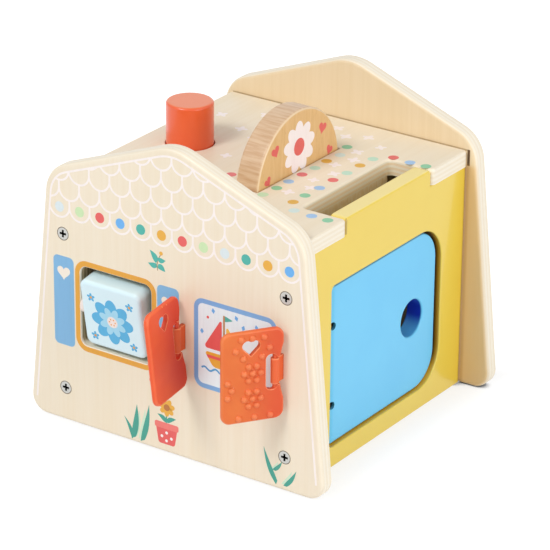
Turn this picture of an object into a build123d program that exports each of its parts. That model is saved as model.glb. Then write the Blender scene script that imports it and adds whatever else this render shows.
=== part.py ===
from build123d import *
import math
import os

os.makedirs("parts", exist_ok=True)

# Axes: X runs along the front gable, Y from the front to the back, Z up.
# The origin is the middle of the underside. All sizes are millimetres.

# House shell
house_depth = 178.5
gable_t = 10.0
side_t = 10.0
roof_t = 9.5
floor_t = 10.0
side_outer_x = 79.0
roof_over = 1.0
roof_top = 143.3
gable_base_half = 99.2
gable_lean = 0.0995
gable_pitch = 20.7
gable_apex = 180.9
eave_r = 20.0
peak_r = 28.0
foot_r = 10.0
gable_edge_r = 2.2
board_edge_r = 1.2
roof_edge_r = 1.4
tongue_edge_r = 0.8
tongue_corner_r = 2.8
joint_gap = 0.25
roof_end_gap = 0.5
weld = 0.5

# Gable screws
screw_x = 73.5
screw_low_z = 20.3
screw_high_z = 113.0
screw_head_r = 3.75
screw_head_h = 2.6
screw_shank_r = 1.6
screw_len = 30.0
screw_gap = 0.1
screw_rim = 0.3
screw_tip_ratio = 1.8
screw_point_r = 0.25
screw_end_room = 0.6
cross_w = 1.3
cross_len = 4.4
cross_depth = 1.5

# Dowels
roof_dowel_r = 3.0
roof_dowel_down = 12.0
roof_dowel_up = 7.5
floor_dowel_r = 2.5
floor_dowel_in_side = 6.5
floor_dowel_in_floor = 9.5
dowel_end_gap = 0.3
dowel_y = 62.0
dowel_gap = 0.05

# Posting notch in the roof and the tongue that closes its outer side
notch_inner_x = 51.3
notch_half_y = 42.9
notch_corner_r = 4.0
slot_strip_t = 4.0
slot_strip_h = 7.0
slot_strip_half_y = 41.5
slot_strip_end_r = 1.5
notch_outer_r = 2.4
roof_corner_r = 2.4
rim_edge_r = 0.4
tongue_gap = 0.5

# Left window with the turning picture tile
window_x = -38.1
window_z = 73.4
window_w = 48.0
window_h = 47.2
window_r = 4.5
window_edge_r = 0.6
tile_w = 40.8
tile_h = 41.0
tile_t = 13.8
tile_z = 73.0
tile_axle_back = 3.6
tile_corner_r = 4.5
tile_edge_r = 2.2
tile_rest_deg = 9.2
tile_axle_r = 2.0
tile_axle_far = 12.0
spacer_r = 4.5
spacer_gap = 0.15
plug_len = 3.5
plug_inset = 0.4
plug_end_gap = 0.3
axle_end_room = 0.5

# Soft shutters and their straps
hinge_mid_x = 39.05
hinge_half = 31.85
hinge_off = 6.0
leaf_bottom = 45.9
leaf_top = 98.3
leaf_t = 3.2
leaf_gap = 1.7
leaf_back = 4.7
leaf_corner_r = 5.0
leaf_edge_r = 1.2
leaf_waist = 2.2
waist_half = 16.0
leaf_slot_w = 6.4
leaf_slot_end = 5.4
leaf_slot_half = 10.2
leaf_slot_r = 2.8
leaf_rod_r = 1.3
rod_overlap = 1.2
heart_u = 13.7
heart_tip_z = 84.0
heart_side = 5.7
dot_r = 1.9
dot_sink = 0.4
dots_u = 13.0
rosette_z = (74.3, 59.6)
rosette_r = 4.6
top_row_z = 94.3
top_row_pitch = 6.3
bottom_row_u = 11.9
bottom_row_z = 48.9
bottom_row_pitch = 8.8
wide_pair_z = 88.1
wide_pair_half = 9.4
near_pair_z = 83.3
near_pair_half = 5.2
trio_u = 26.8
trio_z = 65.9
trio_pitch = 4.2
trio_in = 2.2
left_open_deg = 82.0
left_lean_deg = 6.5
right_open_deg = 54.9
strap_half = 7.3
strap_notch_gap = 0.5
strap_r = 2.3
strap_neck_w = 2.6
strap_neck_gap = 0.15
strap_head_w = 10.0
strap_head_half = 10.2
strap_head_t = 2.2
strap_pocket_gap = 0.2

# Picture wheel
wheel_x = 13.0
wheel_z = 138.4
wheel_r = 39.6
wheel_t = 14.9
wheel_edge_r = 1.6
wheel_side_gap = 0.6
wheel_slot_half = 40.4
wheel_axle_r = 2.0
wheel_axle_len = 36.0
axle_groove_gap = 0.05
axle_groove_end = 0.4
cap_len = 11.5
cap_half_y = 9.5
cap_t = 3.0
cap_slot_gap = 0.6
cap_corner_r = 2.0
rib_end = 2.0
rib_side_gap = 0.1
cap_screw_y = 6.4

# Chimney plunger
chimney_x = -52.0
chimney_y = -1.2
chimney_r = 13.4
chimney_hole_r = 13.9
chimney_rise = 24.8
chimney_edge_r = 1.6
chimney_stop_gap = 0.3
disc_r = 15.6
disc_t = 3.0
spring_r = 7.0
spring_wire_r = 0.7
spring_turns = 7
spring_end_gap = 0.1
yoke_half_x = 8.0
yoke_leg_in = 18.0
yoke_t = 3.0
yoke_foot_out = 31.0
yoke_base_z = 95.0
yoke_pin_r = 4.0
yoke_pin_h = 13.0
yoke_screw_y = 26.0

# Small screws under the roof
small_head_r = 2.4
small_head_h = 1.6
small_shank_r = 1.1
small_screw_len = 9.0
disc_screw_len = 16.0
small_cross_len = 2.8
small_cross_w = 0.6
small_cross_depth = 0.8

# Side door
opening_front_y = -54.1
opening_rear_y = 56.1
opening_bottom = 12.3
opening_top = 108.0
opening_front_r = 3.0
opening_rear_r = 21.6
opening_edge_r = 0.7
door_gap = 1.6
door_rear_gap = 2.55
door_low_gap = 0.8
door_t = 10.5
door_recess = 2.2
door_edge_r = 1.0
finger_y = 30.0
finger_z = 58.1
finger_r = 10.9
hinge_pin_r = 1.5
hinge_pin_in_door = 24.0
hinge_pin_in_panel = 18.0
lower_pin_in_panel = 11.2
pin_running_gap = 0.05
pin_fit_gap = 0.02
pin_end_room = 0.3
set_screw_r = 2.1
set_screw_gap = 0.2
set_screw_t = 1.3
set_slot_w = 0.8
set_slot_depth = 0.8
set_screw_turn_deg = 20.0
set_screw_low_z = 35.6
set_screw_high_z = 82.7
stop_t = 6.6
stop_lip_gap = 0.3
stop_w = 14.0
stop_over = 5.0
stop_half_z = 24.0
stop_corner_r = 2.0

# Worked out from the sizes above
front_y = -house_depth / 2
front_in = front_y + gable_t
rear_y = -front_y
rear_in = rear_y - gable_t
roof_bottom = roof_top - roof_t
roof_outer_x = side_outer_x + roof_over
side_inner_x = side_outer_x - side_t
pivot_y = front_y - hinge_off
tile_y = front_y + tile_axle_back
door_outer_x = side_outer_x - door_recess
door_inner_x = door_outer_x - door_t
hinge_x = door_outer_x - door_t / 2
door_front_y = opening_front_y + door_gap
door_rear_y = opening_rear_y - door_rear_gap
hinge_y = door_front_y + door_t / 2
door_bottom = opening_bottom + door_low_gap
door_top = opening_top - door_gap
disc_top = roof_bottom - chimney_stop_gap
yoke_floor_z = yoke_base_z + yoke_t


# Helpers
def slab_y(sketch, y0, y1):
    """Raises an X-Z sketch into a slab between two Y planes."""
    plane = Plane(origin=(0, y1, 0), x_dir=(1, 0, 0), z_dir=(0, -1, 0))
    return extrude(plane * sketch, amount=y1 - y0)


def slab_x(sketch, x0, x1):
    """Raises a Y-Z sketch into a slab between two X planes."""
    plane = Plane(origin=(x0, 0, 0), x_dir=(0, 1, 0), z_dir=(1, 0, 0))
    return extrude(plane * sketch, amount=x1 - x0)


def slab_z(sketch, z0, z1):
    """Raises an X-Y sketch into a slab between two heights."""
    return extrude(Plane.XY.offset(z0) * sketch, amount=z1 - z0)


def rod(axis, radius, start, length):
    """A round bar from its start point along X, Y or Z."""
    turn = {"X": (0, 90, 0), "Y": (-90, 0, 0), "Z": (0, 0, 0)}[axis]
    bar = Cylinder(radius, length, align=(Align.CENTER, Align.CENTER, Align.MIN))
    return Location(start, turn) * bar


def bar_x(radius, xa, xb, y, z):
    """A round bar along X between two X limits given in either order."""
    return rod("X", radius, (min(xa, xb), y, z), abs(xb - xa))


def box_between(x0, x1, y0, y1, z0, z1):
    """A box from its six limits."""
    block = Box(x1 - x0, y1 - y0, z1 - z0, align=(Align.MIN, Align.MIN, Align.MIN))
    return Location((x0, y0, z0)) * block


def corner_near(sketch, x, y):
    """The sketch corner nearest to a point."""
    return min(sketch.vertices(), key=lambda v: (v.X - x) ** 2 + (v.Y - y) ** 2)


def eased(solid, axis, radius):
    """Rounds the outline edges of a slab that was raised along the given axis."""
    return fillet(solid.edges().filter_by(axis, reverse=True), radius)


def heart(side):
    """A heart sketch that stands on its tip at the origin."""
    reach = side / math.sqrt(2)
    body = Polygon((0, 0), (reach, reach), (0, 2 * reach), (-reach, reach), align=None)
    shape = body
    for way in (-1, 1):
        shape += Pos(way * reach / 2, 1.5 * reach) * Circle(side / 2)
    return shape


def countersunk_screw(head_r, head_h, shank_r, length):
    """A cross-head screw that points down, its head face at the origin."""
    body = Pos(0, 0, -screw_rim / 2) * Cylinder(head_r, screw_rim)
    cone_h = head_h - screw_rim
    cone = Cone(shank_r, head_r, cone_h, align=(Align.CENTER, Align.CENTER, Align.MIN))
    body += Pos(0, 0, -head_h) * cone
    tip = screw_tip_ratio * shank_r
    shank_len = length - head_h - tip
    shank = Cylinder(shank_r, shank_len, align=(Align.CENTER, Align.CENTER, Align.MAX))
    body += Pos(0, 0, -head_h) * shank
    point = Cone(screw_point_r, shank_r, tip, align=(Align.CENTER, Align.CENTER, Align.MIN))
    body += Pos(0, 0, -length) * point
    return body


def cross_recess(length, width, depth):
    """The cut of a cross-head driver, opening at the origin."""
    bars = Box(length, width, 2 * depth) + Box(width, length, 2 * depth)
    return bars


def screw_room(head_r, head_h, shank_r, length, gap):
    """The countersunk hole that takes a screw, pointing down from the origin."""
    mouth = Cylinder(head_r + gap, screw_rim, align=(Align.CENTER, Align.CENTER, Align.MAX))
    cone_h = head_h - screw_rim
    cone = Cone(shank_r + gap, head_r + gap, cone_h, align=(Align.CENTER, Align.CENTER, Align.MIN))
    hole = Cylinder(shank_r + gap, length + screw_end_room, align=(Align.CENTER, Align.CENTER, Align.MAX))
    return mouth + Pos(0, 0, -head_h) * cone + hole


# Screw places on the two gables
def gable_screw_spots():
    """The X and Z of the four screws of one gable."""
    return [(x, z) for z in (screw_low_z, screw_high_z) for x in (-screw_x, screw_x)]


def toward_back(x, z):
    """Turns a screw that points down so that it enters the front gable."""
    return Location((x, front_y, z), (90, 0, 0))


def toward_front(x, z):
    """Turns a screw that points down so that it enters the rear gable."""
    return Location((x, rear_y, z), (-90, 0, 0))


# Gables
def gable_outline():
    """The five-sided gable with rounded corners."""
    slope = math.tan(math.radians(gable_pitch))
    eave_z = (gable_apex - slope * gable_base_half) / (1 - slope * gable_lean)
    eave_x = gable_base_half - gable_lean * eave_z
    corners = [(-gable_base_half, 0), (gable_base_half, 0), (eave_x, eave_z)]
    corners += [(0, gable_apex), (-eave_x, eave_z)]
    shape = Polygon(*corners, align=None)
    for (x, z), radius in zip(corners, (foot_r, foot_r, eave_r, peak_r, eave_r)):
        shape = fillet(corner_near(shape, x, z), radius)
    return shape


def window_outline():
    """The rounded square of the left window."""
    return Pos(window_x, window_z) * RectangleRounded(window_w, window_h, window_r)


def near_window_rim(point):
    """True for the middle of an edge that lies round the window in one of the panel's faces."""
    on_face = min(abs(point.Y - front_y), abs(point.Y - front_in)) < 0.01
    in_x = abs(point.X - window_x) < window_w / 2 + 1
    in_z = abs(point.Z - window_z) < window_h / 2 + 1
    return on_face and in_x and in_z


def pivot_x(side):
    """The hinge line of the left (-1) or right (1) shutter."""
    return hinge_mid_x + side * hinge_half


def strap_room(side):
    """The slit and the rear pocket that hold one strap in the front gable."""
    x = pivot_x(side)
    slit_w = strap_neck_w / 2 + strap_neck_gap
    slit_h = strap_half + strap_neck_gap
    slit = box_between(x - slit_w, x + slit_w, front_y - 1, front_in + 1,
                       window_z - slit_h, window_z + slit_h)
    half_w = strap_head_w / 2 + strap_pocket_gap
    half_h = strap_head_half + strap_pocket_gap
    floor_y = front_in - strap_head_t - strap_pocket_gap
    pocket = box_between(x - half_w, x + half_w, floor_y, front_in + 1,
                         window_z - half_h, window_z + half_h)
    return slit + pocket


def tile_axle_start():
    """Where the tile axle begins, just behind its plug at the left edge."""
    edge_x = -(gable_base_half - gable_lean * tile_z)
    return edge_x + plug_inset + plug_len + plug_end_gap


def tile_axle_end():
    """Where the tile axle ends, inside the gable right of the window."""
    return window_x + window_w / 2 + tile_axle_far


def make_front_gable():
    """The front panel with its window, strap slits and axle bore."""
    panel = eased(slab_y(gable_outline(), front_y, front_in), Axis.Y, gable_edge_r)
    panel -= slab_y(window_outline(), front_y - 1, front_in + 1)
    rims = [e for e in panel.edges() if near_window_rim(e.center())]
    panel = fillet(rims, window_edge_r)
    for side in (-1, 1):
        panel -= strap_room(side)
    bore_r = tile_axle_r + dowel_gap
    bore_len = tile_axle_end() + axle_end_room + gable_base_half
    panel -= rod("X", bore_r, (-gable_base_half, tile_y, tile_z), bore_len)
    for x, z in gable_screw_spots():
        room = screw_room(screw_head_r, screw_head_h, screw_shank_r, screw_len, screw_gap)
        panel -= toward_back(x, z) * room
    return panel


def make_rear_gable():
    """The plain rear panel with its screw holes."""
    panel = eased(slab_y(gable_outline(), rear_in, rear_y), Axis.Y, gable_edge_r)
    for x, z in gable_screw_spots():
        room = screw_room(screw_head_r, screw_head_h, screw_shank_r, screw_len, screw_gap)
        panel -= toward_front(x, z) * room
    return panel


def make_gable_screw():
    """One cross-head screw, pointing down from the origin."""
    body = countersunk_screw(screw_head_r, screw_head_h, screw_shank_r, screw_len)
    return body - cross_recess(cross_len, cross_w, cross_depth)


# Roof board
def notch_outline():
    """The posting notch, open at the right end of the board."""
    far_x = roof_outer_x + 1
    shape = Pos((notch_inner_x + far_x) / 2, 0) * Rectangle(far_x - notch_inner_x, 2 * notch_half_y)
    for way in (-1, 1):
        shape = fillet(corner_near(shape, notch_inner_x, way * notch_half_y), notch_corner_r)
    return shape


def make_roof_board():
    """The flat board between the gables, with its notch, slot, holes and axle groove."""
    length = 2 * (rear_in - roof_end_gap)
    outline = RectangleRounded(2 * roof_outer_x, length, roof_corner_r) - notch_outline()
    for way in (-1, 1):
        outline = fillet(corner_near(outline, roof_outer_x, way * notch_half_y), notch_outer_r)
    board = slab_z(outline, roof_bottom, roof_top)
    board = fillet(board.faces().sort_by(Axis.Z)[-1].edges(), roof_edge_r)
    holes = Pos(chimney_x, chimney_y) * Circle(chimney_hole_r)
    slot_w = wheel_t + 2 * wheel_side_gap
    holes += Pos(wheel_x, 0) * Rectangle(slot_w, 2 * wheel_slot_half)
    board -= slab_z(holes, roof_bottom - 1, roof_top + 1)
    rims = [e for e in board.edges() if e.center().Z > roof_top - 0.01 and in_roof_hole(e.center())]
    board = fillet(rims, rim_edge_r)
    groove_w = wheel_axle_r + axle_groove_gap
    half = wheel_axle_len / 2 + axle_groove_end
    board -= box_between(wheel_x - half, wheel_x + half, -groove_w, groove_w, roof_bottom - 1, wheel_z)
    board -= rod("X", groove_w, (wheel_x - half, 0, wheel_z), 2 * half)
    for x, y in small_screw_spots():
        depth = small_screw_len - min(cap_t, yoke_t) + screw_end_room
        board -= rod("Z", small_shank_r + screw_gap, (x, y, roof_bottom - 1), depth + 1)
    for x in (-screw_x, screw_x):
        for y in (-dowel_y, dowel_y):
            depth = roof_dowel_up + dowel_end_gap
            board -= rod("Z", roof_dowel_r + dowel_gap, (x, y, roof_bottom - 1), depth + 1)
    return board


def in_roof_hole(point):
    """True for a point in the roof's chimney hole or wheel slot, or on its rim."""
    reach = max(abs(point.X - chimney_x), abs(point.Y - chimney_y))
    in_chimney = reach < chimney_hole_r + 0.1
    in_slot = abs(point.X - wheel_x) < wheel_t and abs(point.Y) < wheel_slot_half + 0.1
    return in_chimney or in_slot


def small_screw_spots():
    """The X and Y of the screws driven up into the roof board."""
    spots = [(x, y) for x in cap_middles() for y in (-cap_screw_y, cap_screw_y)]
    spots += [(chimney_x, chimney_y + way * yoke_screw_y) for way in (-1, 1)]
    return spots


# Side panels
def side_outline(with_tongue):
    """A side panel seen from the side, as a Y-Z sketch."""
    height = roof_bottom
    shape = Pos(0, height / 2) * Rectangle(2 * rear_in, height)
    if with_tongue:
        half = notch_half_y - tongue_gap
        low = roof_bottom - weld
        shape += Pos(0, (low + roof_top) / 2) * Rectangle(2 * half, roof_top - low)
        for way in (-1, 1):
            shape = fillet(corner_near(shape, way * half, roof_top), tongue_corner_r)
    return shape


def rounded_box_outline(y0, y1, z0, z1, front_r, rear_r):
    """A Y-Z rectangle with one radius at the front corners and another at the rear ones."""
    shape = Pos((y0 + y1) / 2, (z0 + z1) / 2) * Rectangle(y1 - y0, z1 - z0)
    for z in (z0, z1):
        shape = fillet(corner_near(shape, y0, z), front_r)
        shape = fillet(corner_near(shape, y1, z), rear_r)
    return shape


def door_opening():
    """The outline of the opening in the right side panel."""
    return rounded_box_outline(opening_front_y, opening_rear_y, opening_bottom, opening_top,
                               opening_front_r, opening_rear_r)


def drill_side_panel(panel, way):
    """Drills the screw, roof dowel and floor dowel holes of one side panel."""
    x = way * screw_x
    for z in (screw_low_z, screw_high_z):
        for place in (toward_back(x, z), toward_front(x, z)):
            hole = screw_room(screw_head_r, screw_head_h, screw_shank_r, screw_len, screw_gap)
            panel -= place * hole
    depth = roof_dowel_down + dowel_end_gap
    bottom = side_inner_x + floor_dowel_in_side + dowel_end_gap
    for y in (-dowel_y, dowel_y):
        panel -= rod("Z", roof_dowel_r + dowel_gap, (x, y, roof_bottom - depth), depth + 1)
        panel -= bar_x(floor_dowel_r + dowel_gap, way * (side_inner_x - 1), way * bottom, y, floor_t / 2)
    return panel


def make_door_side_panel():
    """The right side panel with its tongue, door opening and hinge pin bores."""
    panel = slab_x(side_outline(True), side_inner_x, side_outer_x)
    panel = fillet(panel.faces().sort_by(Axis.X)[-1].edges(), board_edge_r)
    inner_top = [e for e in panel.edges().filter_by(Axis.Y) if e.center().Z > roof_top - 0.01]
    panel = fillet(inner_top, tongue_edge_r)
    opening = slab_x(door_opening(), side_inner_x - 1, side_outer_x + 1)
    panel -= opening
    rim = [e for e in panel.faces().sort_by(Axis.X)[-1].edges()
           if opening_front_y - 1 < e.center().Y < opening_rear_y + 1
           and opening_bottom - 1 < e.center().Z < opening_top + 1]
    panel = fillet(rim, opening_edge_r)
    panel = drill_side_panel(panel, 1)
    bore = hinge_pin_r + pin_running_gap
    panel -= rod("Z", bore, (hinge_x, hinge_y, opening_top - 2), roof_bottom - opening_top + 4)
    panel -= rod("Z", bore, (hinge_x, hinge_y, -1), opening_bottom + 3)
    return panel


def make_plain_side_panel():
    """The left side panel, closed all over."""
    panel = slab_x(side_outline(False), -side_outer_x, -side_inner_x)
    panel = fillet(panel.faces().sort_by(Axis.X)[0].edges(), board_edge_r)
    return drill_side_panel(panel, -1)


def make_floor_board():
    """The floor between the four walls, flush with their undersides."""
    half_x = side_inner_x - joint_gap
    half_y = rear_in - joint_gap
    board = box_between(-half_x, half_x, -half_y, half_y, 0, floor_t)
    inner_end = side_inner_x - floor_dowel_in_floor - dowel_end_gap
    for way in (-1, 1):
        for y in (-dowel_y, dowel_y):
            radius = floor_dowel_r + dowel_gap
            board -= bar_x(radius, way * inner_end, way * (half_x + 1), y, floor_t / 2)
    return board


def make_roof_dowel(x, y):
    """One upright dowel between a side panel and the roof board."""
    length = roof_dowel_down + roof_dowel_up
    return rod("Z", roof_dowel_r, (x, y, roof_bottom - roof_dowel_down), length)


def make_floor_dowel(way, y):
    """One level dowel between a side panel and the floor."""
    inner_end = side_inner_x - floor_dowel_in_floor
    outer_end = side_inner_x + floor_dowel_in_side
    return bar_x(floor_dowel_r, way * inner_end, way * outer_end, y, floor_t / 2)


# Turning picture tile
def tile_pose():
    """The tilt of the tile in the photograph, about its axle."""
    return Location((window_x, tile_y, tile_z), (tile_rest_deg, 0, 0))


def make_picture_tile():
    """The thick tile, bored for its axle and tilted as it stands in the photograph."""
    face = RectangleRounded(tile_w, tile_h, tile_corner_r)
    block = eased(slab_y(face, -tile_t / 2, tile_t / 2), Axis.Y, tile_edge_r)
    block -= rod("X", tile_axle_r + pin_running_gap, (-tile_w, 0, 0), 2 * tile_w)
    return tile_pose() * block


def make_tile_axle():
    """The steel pin that the tile turns on."""
    start = tile_axle_start()
    return rod("X", tile_axle_r, (start, tile_y, tile_z), tile_axle_end() - start)


def make_tile_plug():
    """The short dowel that closes the axle bore at the gable's left edge."""
    start = tile_axle_start() - plug_end_gap - plug_len
    return rod("X", tile_axle_r, (start, tile_y, tile_z), plug_len)


def make_tile_spacer(side):
    """The ring between the tile and one side of the window."""
    length = (window_w - tile_w) / 2 - 2 * spacer_gap
    start = window_x + tile_w / 2 + spacer_gap if side > 0 else window_x - window_w / 2 + spacer_gap
    ring = rod("X", spacer_r, (start, tile_y, tile_z), length)
    return ring - rod("X", tile_axle_r + pin_running_gap, (start - 1, tile_y, tile_z), length + 2)


# Soft shutters
def dot_spots():
    """The raised dots on a leaf: two rosettes, two rows, two pairs by the heart and a bent trio."""
    spots = []
    for mid_z in rosette_z:
        spots.append((dots_u, mid_z))
        for k in range(6):
            turn = math.radians(60 * k)
            spots.append((dots_u + rosette_r * math.cos(turn), mid_z + rosette_r * math.sin(turn)))
    for k in (-1, 0, 1):
        spots.append((dots_u + k * top_row_pitch, top_row_z))
        spots.append((bottom_row_u + k * bottom_row_pitch, bottom_row_z))
        spots.append((trio_u - (1 - abs(k)) * trio_in, trio_z + k * trio_pitch))
    for way in (-1, 1):
        spots.append((dots_u + way * wide_pair_half, wide_pair_z))
        spots.append((dots_u + way * near_pair_half, near_pair_z))
    return spots


def leaf_slot():
    """The slot for the strap, open at the leaf's hinge edge."""
    slot = RectangleRounded(leaf_slot_w, 2 * leaf_slot_half, leaf_slot_r)
    slot = Pos(leaf_slot_end - leaf_slot_w / 2, 0) * slot
    notch_w = leaf_back + leaf_edge_r
    notch_half = strap_half + strap_notch_gap
    return slot + Pos(-notch_w / 2, 0) * Rectangle(notch_w, 2 * notch_half)


def leaf_outline():
    """A leaf seen from the front when shut, hinge line at zero."""
    reach = hinge_half - leaf_gap
    low = leaf_bottom - window_z
    high = leaf_top - window_z
    width = reach + leaf_back
    shape = Pos((reach - leaf_back) / 2, (low + high) / 2) * Rectangle(width, high - low)
    for x in (-leaf_back, reach):
        for z in (low, high):
            shape = fillet(corner_near(shape, x, z), leaf_corner_r)
    sag = leaf_back - leaf_waist
    waist_r = (waist_half ** 2 + sag ** 2) / (2 * sag)
    return shape - Pos(-leaf_waist - waist_r, 0) * Circle(waist_r)


def make_leaf_shut(lean_deg):
    """A leaf in its shut place with the hinge rod on the origin and the dots in front."""
    half_t = leaf_t / 2
    plate = eased(slab_y(leaf_outline(), -half_t, half_t), Axis.Y, leaf_edge_r)
    plate -= slab_y(leaf_slot(), -half_t - 1, half_t + 1)
    cut = Pos(heart_u, heart_tip_z - window_z) * heart(heart_side)
    plate -= slab_y(cut, -half_t - 1, half_t + 1)
    for u, z in dot_spots():
        plate += Pos(u, dot_sink - half_t, z - window_z) * Sphere(dot_r)
    plate = Location((0, 0, 0), (lean_deg, 0, 0)) * plate
    half_rod = leaf_slot_half + rod_overlap
    return plate + rod("Z", leaf_rod_r, (0, 0, -half_rod), 2 * half_rod)


def make_shutter(side):
    """One soft leaf, opened as it stands in the photograph."""
    leaf = make_leaf_shut(0 if side > 0 else left_lean_deg)
    if side > 0:
        leaf = mirror(leaf, about=Plane.YZ)
    angle = right_open_deg if side > 0 else -left_open_deg
    return Location((pivot_x(side), pivot_y, window_z), (0, 0, angle)) * leaf


def make_strap(side):
    """The soft loop round a leaf's hinge rod, with its neck and its head in the gable."""
    x = pivot_x(side)
    low = window_z - strap_half
    loop = rod("Z", strap_r, (x, pivot_y, low), 2 * strap_half)
    neck_half = strap_neck_w / 2
    head_y = front_in - strap_head_t - strap_pocket_gap / 2
    loop += box_between(x - neck_half, x + neck_half, pivot_y, head_y + weld, low, window_z + strap_half)
    loop += box_between(x - strap_head_w / 2, x + strap_head_w / 2, head_y, head_y + strap_head_t,
                        window_z - strap_head_half, window_z + strap_head_half)
    return loop - rod("Z", leaf_rod_r + pin_running_gap, (x, pivot_y, low - 1), 2 * strap_half + 2)


# Picture wheel
def make_picture_wheel():
    """The thick disc that shows above the roof."""
    start = wheel_x - wheel_t / 2
    disc = rod("X", wheel_r, (start, 0, wheel_z), wheel_t)
    disc = fillet(disc.edges(), wheel_edge_r)
    return disc - rod("X", wheel_axle_r + pin_running_gap, (start - 1, 0, wheel_z), wheel_t + 2)


def make_wheel_axle():
    """The steel pin across the wheel slot, inside the roof board."""
    return rod("X", wheel_axle_r, (wheel_x - wheel_axle_len / 2, 0, wheel_z), wheel_axle_len)


def cap_middles():
    """The X of the middle of each axle cap."""
    offset = wheel_t / 2 + wheel_side_gap + cap_slot_gap + cap_len / 2
    return (wheel_x - offset, wheel_x + offset)


def make_axle_cap(mid_x):
    """The plate under the roof that holds one end of the wheel axle up in its groove."""
    half = cap_len / 2
    plate = box_between(mid_x - half, mid_x + half, -cap_half_y, cap_half_y, roof_bottom - cap_t, roof_bottom)
    plate = fillet(plate.edges().filter_by(Axis.Z), cap_corner_r)
    rib_top = wheel_z - wheel_axle_r - axle_groove_gap
    rib_w = wheel_axle_r - rib_side_gap
    rib_half = half - rib_end
    plate += box_between(mid_x - rib_half, mid_x + rib_half, -rib_w, rib_w, roof_bottom - weld, rib_top)
    for way in (-1, 1):
        plate -= upward(mid_x, way * cap_screw_y, roof_bottom - cap_t) * small_screw_room()
    return plate


def upward(x, y, z):
    """Turns a screw that points down so that it is driven up from below."""
    return Location((x, y, z), (180, 0, 0))


def small_screw_room():
    """The countersunk hole of a small screw."""
    return screw_room(small_head_r, small_head_h, small_shank_r, small_screw_len, screw_gap)


def make_small_screw(x, y, z, length):
    """One small cross-head screw driven up from below."""
    body = countersunk_screw(small_head_r, small_head_h, small_shank_r, length)
    body -= cross_recess(small_cross_len, small_cross_w, small_cross_depth)
    return upward(x, y, z) * body


# Chimney
def make_chimney():
    """The round plunger that stands out of the roof."""
    height = roof_top + chimney_rise - disc_top
    body = rod("Z", chimney_r, (chimney_x, chimney_y, disc_top), height)
    top = body.edges().sort_by(Axis.Z)[-1]
    body = fillet(top, chimney_edge_r)
    depth = disc_screw_len - disc_t + screw_end_room
    return body - rod("Z", small_shank_r + screw_gap, (chimney_x, chimney_y, disc_top - 1), depth + 1)


def make_chimney_disc():
    """The wider disc under the plunger that keeps it in the roof."""
    disc = rod("Z", disc_r, (chimney_x, chimney_y, disc_top - disc_t), disc_t)
    room = screw_room(small_head_r, small_head_h, small_shank_r, disc_screw_len, screw_gap)
    return disc - upward(chimney_x, chimney_y, disc_top - disc_t) * room


def make_chimney_spring():
    """The coil that lifts the plunger again."""
    low = yoke_floor_z + spring_wire_r + spring_end_gap
    high = disc_top - disc_t - spring_wire_r - spring_end_gap
    path = Helix(pitch=(high - low) / spring_turns, height=high - low, radius=spring_r)
    section = Plane(origin=path @ 0, z_dir=path % 0) * Circle(spring_wire_r)
    return Pos(chimney_x, chimney_y, low) * sweep(section, path=path, is_frenet=True)


def make_chimney_yoke():
    """The bracket under the roof that carries the spring."""
    x0 = -yoke_half_x
    x1 = yoke_half_x
    leg_out = yoke_leg_in + yoke_t
    body = box_between(x0, x1, -leg_out, leg_out, yoke_base_z, yoke_floor_z)
    for way in (-1, 1):
        inner, outer = sorted((way * yoke_leg_in, way * leg_out))
        body += box_between(x0, x1, inner, outer, yoke_base_z, roof_bottom)
        inner, outer = sorted((way * yoke_leg_in, way * yoke_foot_out))
        body += box_between(x0, x1, inner, outer, roof_bottom - yoke_t, roof_bottom)
    body += rod("Z", yoke_pin_r, (0, 0, yoke_floor_z - weld), yoke_pin_h + weld)
    for way in (-1, 1):
        body -= upward(0, way * yoke_screw_y, roof_bottom - yoke_t) * small_screw_room()
    return Pos(chimney_x, chimney_y) * body


# Side door
def door_outline():
    """The door seen from the side, with large corners at its free edge."""
    return rounded_box_outline(door_front_y, door_rear_y, door_bottom, door_top,
                               opening_front_r - door_gap, opening_rear_r - door_rear_gap)


def make_side_door():
    """The blue door with its finger hole, rounded hinge edge and pin bores."""
    door = slab_x(door_outline(), door_inner_x, door_outer_x)
    keep = rod("Z", door_t / 2, (hinge_x, hinge_y, 0), roof_top)
    keep += box_between(door_inner_x - 1, door_outer_x + 1, hinge_y, rear_y, 0, roof_top)
    rim = [e for e in door.edges().filter_by(Axis.X, reverse=True) if e.center().Y > door_front_y + 3]
    door = fillet(rim, door_edge_r)
    door &= keep
    hole = rod("X", finger_r, (door_inner_x - 1, finger_y, finger_z), door_t + 2)
    door -= hole
    rings = [e for e in door.edges().filter_by(GeomType.CIRCLE) if abs(e.radius - finger_r) < 0.01]
    door = fillet(rings, door_edge_r)
    bore = hinge_pin_r + pin_fit_gap
    depth = hinge_pin_in_door + pin_end_room
    door -= rod("Z", bore, (hinge_x, hinge_y, door_bottom - 1), depth + 1)
    door -= rod("Z", bore, (hinge_x, hinge_y, door_top - depth), depth + 1)
    for z in (set_screw_low_z, set_screw_high_z):
        door -= set_screw_place(z) * rod("X", set_screw_r + set_screw_gap, (0, 0, 0), door_t)
    return door


def set_screw_place(z):
    """A height on the hinge line, turned so that X runs out through the set screw."""
    return Location((hinge_x, hinge_y, z), (0, 0, -set_screw_turn_deg))


def make_hinge_pin(upper):
    """One steel hinge pin, fixed in the door and turning in the side panel."""
    if upper:
        start = door_top - hinge_pin_in_door
        length = hinge_pin_in_door + door_gap + hinge_pin_in_panel
    else:
        start = opening_bottom - lower_pin_in_panel
        length = hinge_pin_in_door + door_low_gap + lower_pin_in_panel
    return rod("Z", hinge_pin_r, (hinge_x, hinge_y, start), length)


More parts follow.
